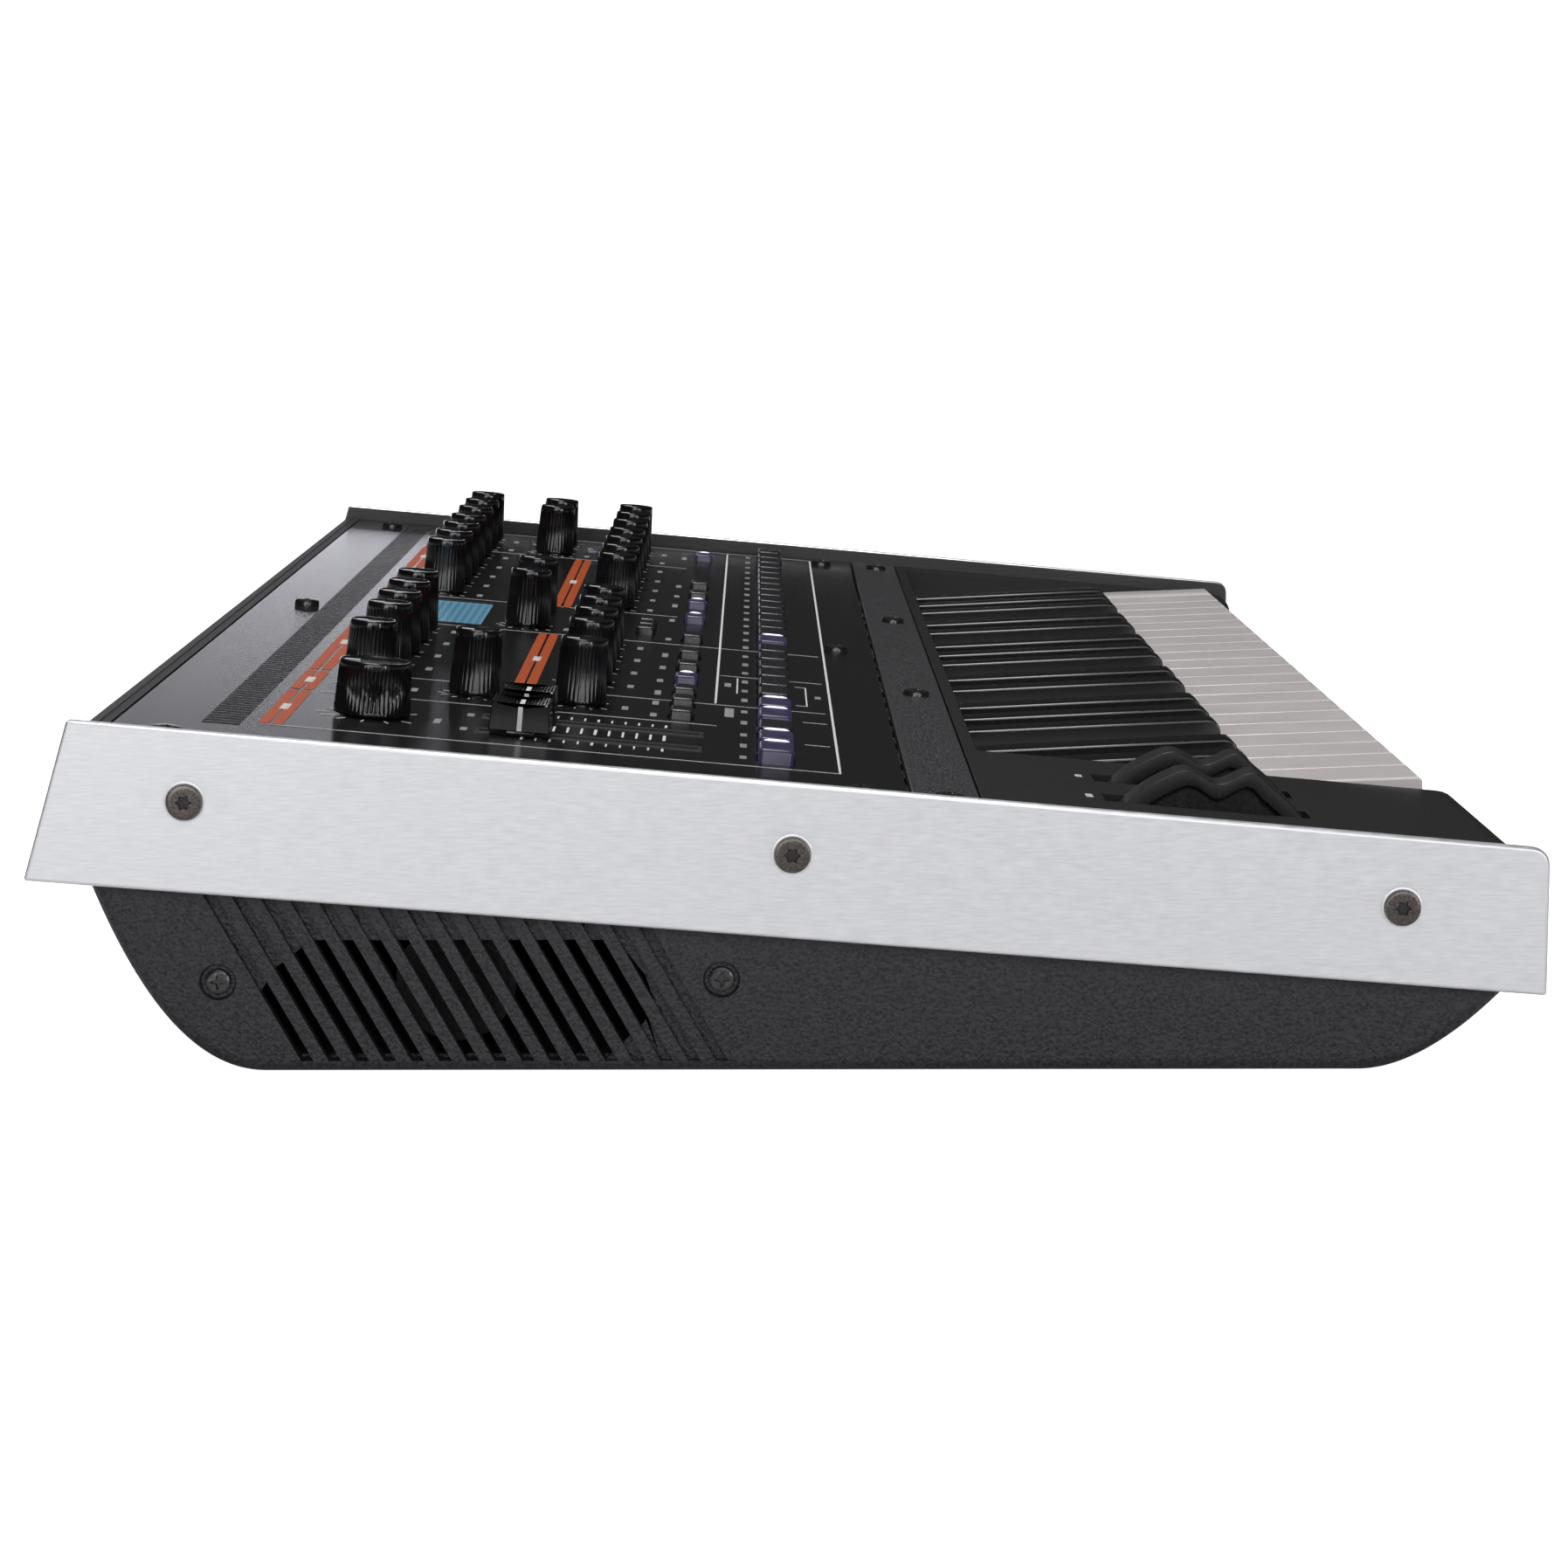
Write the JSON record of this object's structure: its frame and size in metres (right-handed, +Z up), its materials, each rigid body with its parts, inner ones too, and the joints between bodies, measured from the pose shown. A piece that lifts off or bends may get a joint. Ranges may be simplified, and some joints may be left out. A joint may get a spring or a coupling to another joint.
{
  "type": "keyboard synthesizer",
  "caption": "Desktop keyboard synthesizer: sloping control deck with knobs, faders and lit buttons, two performance wheels, slim sprung keys, metal end plates and a curved case.",
  "frame": {"origin": "middle of the footprint, on the surface that the feet stand on", "axes": "+X to the player's right along the keys, +Y from the player to the back, +Z up"},
  "size_m": [0.5752, 0.3, 0.0869],
  "materials": {
    "brushed_aluminium": "brushed along its length",
    "textured_plastic": "fine leather-like moulded texture",
    "panel_black": "satin black paint with printed lines",
    "brushed_dark": "dark anodised, brushed along its length",
    "matte_plastic": "matte moulded plastic",
    "key_white": "smooth warm white",
    "key_black": "smooth black",
    "gloss_black": "glossy black",
    "button_plastic": "dark translucent caps, some lit violet",
    "display_glass": "blue lit display under a clear window",
    "steel": "bright steel",
    "circuit_board": "green solder mask",
    "frame_grey": "moulded frame",
    "rubber": "matte rubber"
  },
  "bodies": {
    "root": {"left_end_plate": "brushed_aluminium", "right_end_plate": "brushed_aluminium", "bottom_case": "textured_plastic", "foot_front_left": "rubber", "foot_front_right": "rubber", "foot_rear_left": "rubber", "foot_rear_right": "rubber", "rear_panel": "panel_black", "control_panel": "panel_black", "display": "display_glass", "knob_board": "gloss_black", "front_strip": "brushed_dark", "keyboard_surround": "matte_plastic", "wheel_axle": "steel", "key_bed": "frame_grey", "main_board": "circuit_board"},
    "volume_knob": {"volume_knob": "gloss_black"},
    "value_knob": {"value_knob": "gloss_black"},
    "fader_left": {"fader_left": "gloss_black"},
    "fader_right": {"fader_right": "gloss_black"},
    "button_mat": {"button_mat": "button_plastic"},
    "pitch_wheel": {"pitch_wheel": "matte_plastic"},
    "mod_wheel": {"mod_wheel": "matte_plastic"},
    "key_c3": {"key_c3": "key_white"},
    "key_c_sharp3": {"key_c_sharp3": "key_black"},
    "key_d3": {"key_d3": "key_white"},
    "key_d_sharp3": {"key_d_sharp3": "key_black"},
    "key_e3": {"key_e3": "key_white"},
    "key_f3": {"key_f3": "key_white"},
    "key_f_sharp3": {"key_f_sharp3": "key_black"},
    "key_g3": {"key_g3": "key_white"},
    "key_g_sharp3": {"key_g_sharp3": "key_black"},
    "key_a3": {"key_a3": "key_white"},
    "key_a_sharp3": {"key_a_sharp3": "key_black"},
    "key_b3": {"key_b3": "key_white"},
    "key_c4": {"key_c4": "key_white"},
    "key_c_sharp4": {"key_c_sharp4": "key_black"},
    "key_d4": {"key_d4": "key_white"},
    "key_d_sharp4": {"key_d_sharp4": "key_black"},
    "key_e4": {"key_e4": "key_white"},
    "key_f4": {"key_f4": "key_white"},
    "key_f_sharp4": {"key_f_sharp4": "key_black"},
    "key_g4": {"key_g4": "key_white"},
    "key_g_sharp4": {"key_g_sharp4": "key_black"},
    "key_a4": {"key_a4": "key_white"},
    "key_a_sharp4": {"key_a_sharp4": "key_black"},
    "key_b4": {"key_b4": "key_white"},
    "key_c5": {"key_c5": "key_white"},
    "key_c_sharp5": {"key_c_sharp5": "key_black"},
    "key_d5": {"key_d5": "key_white"},
    "key_d_sharp5": {"key_d_sharp5": "key_black"},
    "key_e5": {"key_e5": "key_white"},
    "key_f5": {"key_f5": "key_white"},
    "key_f_sharp5": {"key_f_sharp5": "key_black"},
    "key_g5": {"key_g5": "key_white"},
    "key_g_sharp5": {"key_g_sharp5": "key_black"},
    "key_a5": {"key_a5": "key_white"},
    "key_a_sharp5": {"key_a_sharp5": "key_black"},
    "key_b5": {"key_b5": "key_white"},
    "key_c6": {"key_c6": "key_white"}
  },
  "joints": [
    {"name": "pitch_wheel_turn", "type": "hinge", "parent": "root", "child": "pitch_wheel", "pos_m": [-0.23626, -0.0875, 0.03962], "axis": [1, 0, 0], "range_deg": [-28, 28], "stiffness_Nm_per_rad": 0.05},
    {"name": "mod_wheel_turn", "type": "hinge", "parent": "root", "child": "mod_wheel", "pos_m": [-0.20666, -0.0875, 0.03962], "axis": [1, 0, 0], "range_deg": [-28, 28]},
    {"name": "fader_left_slide", "type": "slide", "parent": "root", "child": "fader_left", "axis": [0, 0.9961, 0.0885], "range_m": [-0.0297, 0]},
    {"name": "fader_right_slide", "type": "slide", "parent": "root", "child": "fader_right", "axis": [0, 0.9961, 0.0885], "range_m": [-0.0297, 0]},
    {"name": "volume_knob_turn", "type": "hinge", "parent": "root", "child": "volume_knob", "pos_m": [-0.2084, 0.08835, 0.0708], "axis": [0, -0.0885, 0.9961], "range_deg": [-150, 150]},
    {"name": "value_knob_turn", "type": "hinge", "parent": "root", "child": "value_knob", "pos_m": [0.0335, 0.06624, 0.06883], "axis": [0, -0.0885, 0.9961], "continuous": true},
    {"name": "button_mat_press", "type": "slide", "parent": "root", "child": "button_mat", "axis": [0, 0.0885, -0.9961], "range_m": [0, 0.0006], "stiffness_N_per_m": 2500, "springref_m": -0.0006},
    {"name": "key_c3_rock", "type": "hinge", "parent": "root", "child": "key_c3", "pos_m": [0, -0.012, 0.045], "axis": [1, 0, 0], "range_deg": [0, 3.4], "stiffness_Nm_per_rad": 0.7, "springref_deg": -6.3},
    {"name": "key_c_sharp3_rock", "type": "hinge", "parent": "root", "child": "key_c_sharp3", "pos_m": [0, -0.012, 0.045], "axis": [1, 0, 0], "range_deg": [0, 3], "stiffness_Nm_per_rad": 0.7, "springref_deg": -6.3},
    {"name": "key_d3_rock", "type": "hinge", "parent": "root", "child": "key_d3", "pos_m": [0, -0.012, 0.045], "axis": [1, 0, 0], "range_deg": [0, 3.4], "stiffness_Nm_per_rad": 0.7, "springref_deg": -6.3},
    {"name": "key_d_sharp3_rock", "type": "hinge", "parent": "root", "child": "key_d_sharp3", "pos_m": [0, -0.012, 0.045], "axis": [1, 0, 0], "range_deg": [0, 3], "stiffness_Nm_per_rad": 0.7, "springref_deg": -6.3},
    {"name": "key_e3_rock", "type": "hinge", "parent": "root", "child": "key_e3", "pos_m": [0, -0.012, 0.045], "axis": [1, 0, 0], "range_deg": [0, 3.4], "stiffness_Nm_per_rad": 0.7, "springref_deg": -6.3},
    {"name": "key_f3_rock", "type": "hinge", "parent": "root", "child": "key_f3", "pos_m": [0, -0.012, 0.045], "axis": [1, 0, 0], "range_deg": [0, 3.4], "stiffness_Nm_per_rad": 0.7, "springref_deg": -6.3},
    {"name": "key_f_sharp3_rock", "type": "hinge", "parent": "root", "child": "key_f_sharp3", "pos_m": [0, -0.012, 0.045], "axis": [1, 0, 0], "range_deg": [0, 3], "stiffness_Nm_per_rad": 0.7, "springref_deg": -6.3},
    {"name": "key_g3_rock", "type": "hinge", "parent": "root", "child": "key_g3", "pos_m": [0, -0.012, 0.045], "axis": [1, 0, 0], "range_deg": [0, 3.4], "stiffness_Nm_per_rad": 0.7, "springref_deg": -6.3},
    {"name": "key_g_sharp3_rock", "type": "hinge", "parent": "root", "child": "key_g_sharp3", "pos_m": [0, -0.012, 0.045], "axis": [1, 0, 0], "range_deg": [0, 3], "stiffness_Nm_per_rad": 0.7, "springref_deg": -6.3},
    {"name": "key_a3_rock", "type": "hinge", "parent": "root", "child": "key_a3", "pos_m": [0, -0.012, 0.045], "axis": [1, 0, 0], "range_deg": [0, 3.4], "stiffness_Nm_per_rad": 0.7, "springref_deg": -6.3},
    {"name": "key_a_sharp3_rock", "type": "hinge", "parent": "root", "child": "key_a_sharp3", "pos_m": [0, -0.012, 0.045], "axis": [1, 0, 0], "range_deg": [0, 3], "stiffness_Nm_per_rad": 0.7, "springref_deg": -6.3},
    {"name": "key_b3_rock", "type": "hinge", "parent": "root", "child": "key_b3", "pos_m": [0, -0.012, 0.045], "axis": [1, 0, 0], "range_deg": [0, 3.4], "stiffness_Nm_per_rad": 0.7, "springref_deg": -6.3},
    {"name": "key_c4_rock", "type": "hinge", "parent": "root", "child": "key_c4", "pos_m": [0, -0.012, 0.045], "axis": [1, 0, 0], "range_deg": [0, 3.4], "stiffness_Nm_per_rad": 0.7, "springref_deg": -6.3},
    {"name": "key_c_sharp4_rock", "type": "hinge", "parent": "root", "child": "key_c_sharp4", "pos_m": [0, -0.012, 0.045], "axis": [1, 0, 0], "range_deg": [0, 3], "stiffness_Nm_per_rad": 0.7, "springref_deg": -6.3},
    {"name": "key_d4_rock", "type": "hinge", "parent": "root", "child": "key_d4", "pos_m": [0, -0.012, 0.045], "axis": [1, 0, 0], "range_deg": [0, 3.4], "stiffness_Nm_per_rad": 0.7, "springref_deg": -6.3},
    {"name": "key_d_sharp4_rock", "type": "hinge", "parent": "root", "child": "key_d_sharp4", "pos_m": [0, -0.012, 0.045], "axis": [1, 0, 0], "range_deg": [0, 3], "stiffness_Nm_per_rad": 0.7, "springref_deg": -6.3},
    {"name": "key_e4_rock", "type": "hinge", "parent": "root", "child": "key_e4", "pos_m": [0, -0.012, 0.045], "axis": [1, 0, 0], "range_deg": [0, 3.4], "stiffness_Nm_per_rad": 0.7, "springref_deg": -6.3},
    {"name": "key_f4_rock", "type": "hinge", "parent": "root", "child": "key_f4", "pos_m": [0, -0.012, 0.045], "axis": [1, 0, 0], "range_deg": [0, 3.4], "stiffness_Nm_per_rad": 0.7, "springref_deg": -6.3},
    {"name": "key_f_sharp4_rock", "type": "hinge", "parent": "root", "child": "key_f_sharp4", "pos_m": [0, -0.012, 0.045], "axis": [1, 0, 0], "range_deg": [0, 3], "stiffness_Nm_per_rad": 0.7, "springref_deg": -6.3},
    {"name": "key_g4_rock", "type": "hinge", "parent": "root", "child": "key_g4", "pos_m": [0, -0.012, 0.045], "axis": [1, 0, 0], "range_deg": [0, 3.4], "stiffness_Nm_per_rad": 0.7, "springref_deg": -6.3},
    {"name": "key_g_sharp4_rock", "type": "hinge", "parent": "root", "child": "key_g_sharp4", "pos_m": [0, -0.012, 0.045], "axis": [1, 0, 0], "range_deg": [0, 3], "stiffness_Nm_per_rad": 0.7, "springref_deg": -6.3},
    {"name": "key_a4_rock", "type": "hinge", "parent": "root", "child": "key_a4", "pos_m": [0, -0.012, 0.045], "axis": [1, 0, 0], "range_deg": [0, 3.4], "stiffness_Nm_per_rad": 0.7, "springref_deg": -6.3},
    {"name": "key_a_sharp4_rock", "type": "hinge", "parent": "root", "child": "key_a_sharp4", "pos_m": [0, -0.012, 0.045], "axis": [1, 0, 0], "range_deg": [0, 3], "stiffness_Nm_per_rad": 0.7, "springref_deg": -6.3},
    {"name": "key_b4_rock", "type": "hinge", "parent": "root", "child": "key_b4", "pos_m": [0, -0.012, 0.045], "axis": [1, 0, 0], "range_deg": [0, 3.4], "stiffness_Nm_per_rad": 0.7, "springref_deg": -6.3},
    {"name": "key_c5_rock", "type": "hinge", "parent": "root", "child": "key_c5", "pos_m": [0, -0.012, 0.045], "axis": [1, 0, 0], "range_deg": [0, 3.4], "stiffness_Nm_per_rad": 0.7, "springref_deg": -6.3},
    {"name": "key_c_sharp5_rock", "type": "hinge", "parent": "root", "child": "key_c_sharp5", "pos_m": [0, -0.012, 0.045], "axis": [1, 0, 0], "range_deg": [0, 3], "stiffness_Nm_per_rad": 0.7, "springref_deg": -6.3},
    {"name": "key_d5_rock", "type": "hinge", "parent": "root", "child": "key_d5", "pos_m": [0, -0.012, 0.045], "axis": [1, 0, 0], "range_deg": [0, 3.4], "stiffness_Nm_per_rad": 0.7, "springref_deg": -6.3},
    {"name": "key_d_sharp5_rock", "type": "hinge", "parent": "root", "child": "key_d_sharp5", "pos_m": [0, -0.012, 0.045], "axis": [1, 0, 0], "range_deg": [0, 3], "stiffness_Nm_per_rad": 0.7, "springref_deg": -6.3},
    {"name": "key_e5_rock", "type": "hinge", "parent": "root", "child": "key_e5", "pos_m": [0, -0.012, 0.045], "axis": [1, 0, 0], "range_deg": [0, 3.4], "stiffness_Nm_per_rad": 0.7, "springref_deg": -6.3},
    {"name": "key_f5_rock", "type": "hinge", "parent": "root", "child": "key_f5", "pos_m": [0, -0.012, 0.045], "axis": [1, 0, 0], "range_deg": [0, 3.4], "stiffness_Nm_per_rad": 0.7, "springref_deg": -6.3},
    {"name": "key_f_sharp5_rock", "type": "hinge", "parent": "root", "child": "key_f_sharp5", "pos_m": [0, -0.012, 0.045], "axis": [1, 0, 0], "range_deg": [0, 3], "stiffness_Nm_per_rad": 0.7, "springref_deg": -6.3},
    {"name": "key_g5_rock", "type": "hinge", "parent": "root", "child": "key_g5", "pos_m": [0, -0.012, 0.045], "axis": [1, 0, 0], "range_deg": [0, 3.4], "stiffness_Nm_per_rad": 0.7, "springref_deg": -6.3},
    {"name": "key_g_sharp5_rock", "type": "hinge", "parent": "root", "child": "key_g_sharp5", "pos_m": [0, -0.012, 0.045], "axis": [1, 0, 0], "range_deg": [0, 3], "stiffness_Nm_per_rad": 0.7, "springref_deg": -6.3},
    {"name": "key_a5_rock", "type": "hinge", "parent": "root", "child": "key_a5", "pos_m": [0, -0.012, 0.045], "axis": [1, 0, 0], "range_deg": [0, 3.4], "stiffness_Nm_per_rad": 0.7, "springref_deg": -6.3},
    {"name": "key_a_sharp5_rock", "type": "hinge", "parent": "root", "child": "key_a_sharp5", "pos_m": [0, -0.012, 0.045], "axis": [1, 0, 0], "range_deg": [0, 3], "stiffness_Nm_per_rad": 0.7, "springref_deg": -6.3},
    {"name": "key_b5_rock", "type": "hinge", "parent": "root", "child": "key_b5", "pos_m": [0, -0.012, 0.045], "axis": [1, 0, 0], "range_deg": [0, 3.4], "stiffness_Nm_per_rad": 0.7, "springref_deg": -6.3},
    {"name": "key_c6_rock", "type": "hinge", "parent": "root", "child": "key_c6", "pos_m": [0, -0.012, 0.045], "axis": [1, 0, 0], "range_deg": [0, 3.4], "stiffness_Nm_per_rad": 0.7, "springref_deg": -6.3}
  ]
}
